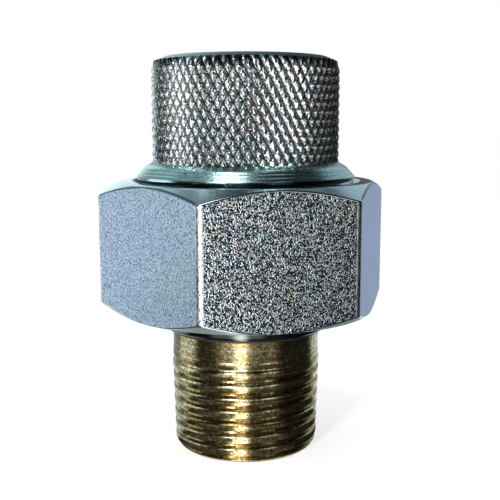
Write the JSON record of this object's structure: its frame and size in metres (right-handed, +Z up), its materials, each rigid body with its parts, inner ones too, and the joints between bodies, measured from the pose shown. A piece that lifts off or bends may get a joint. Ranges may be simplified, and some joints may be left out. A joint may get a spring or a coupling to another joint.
{
  "type": "dielectric union",
  "caption": "Pipe union joining a brass male end to a steel female end through a sealing gasket and insulating sleeve, drawn together by a hexagon nut.",
  "frame": {"origin": "centre of the brass tailpiece's end face, the lowest point of the part as it stands", "axes": "+Z up along the waterway from the brass end to the steel end; one flat of the hexagon nut faces -Y"},
  "size_m": [0.0418, 0.0364, 0.0557],
  "materials": {
    "brass": "machined brass, slightly dull, with turned threads",
    "insulator": "dark moulded plastic",
    "gasket": "dark pressed rubber",
    "nut_steel": "clear zinc plate over machined and grained steel, faint blue and rainbow tint",
    "collar_steel": "clear zinc plate over knurled and turned steel, faint green-blue tint"
  },
  "bodies": {
    "tailpiece": {"brass_tailpiece": "brass", "insulating_sleeve": "insulator", "sealing_gasket": "gasket"},
    "nut": {"union_nut": "nut_steel"},
    "female_end": {"steel_female_end": "collar_steel"}
  },
  "joints": [
    {"name": "nut_turn", "type": "hinge", "parent": "tailpiece", "child": "nut", "pos_m": [0, 0, 0.03], "axis": [0, 0, -1], "range_deg": [0, 2160]},
    {"name": "female_end_lift", "type": "slide", "parent": "tailpiece", "child": "female_end", "axis": [0, 0, 1], "range_m": [0, 0.00953]}
  ],
  "couplings": [
    {"joint": "female_end_lift", "follows": "nut_turn", "m_per_rad": 0.00025266}
  ]
}
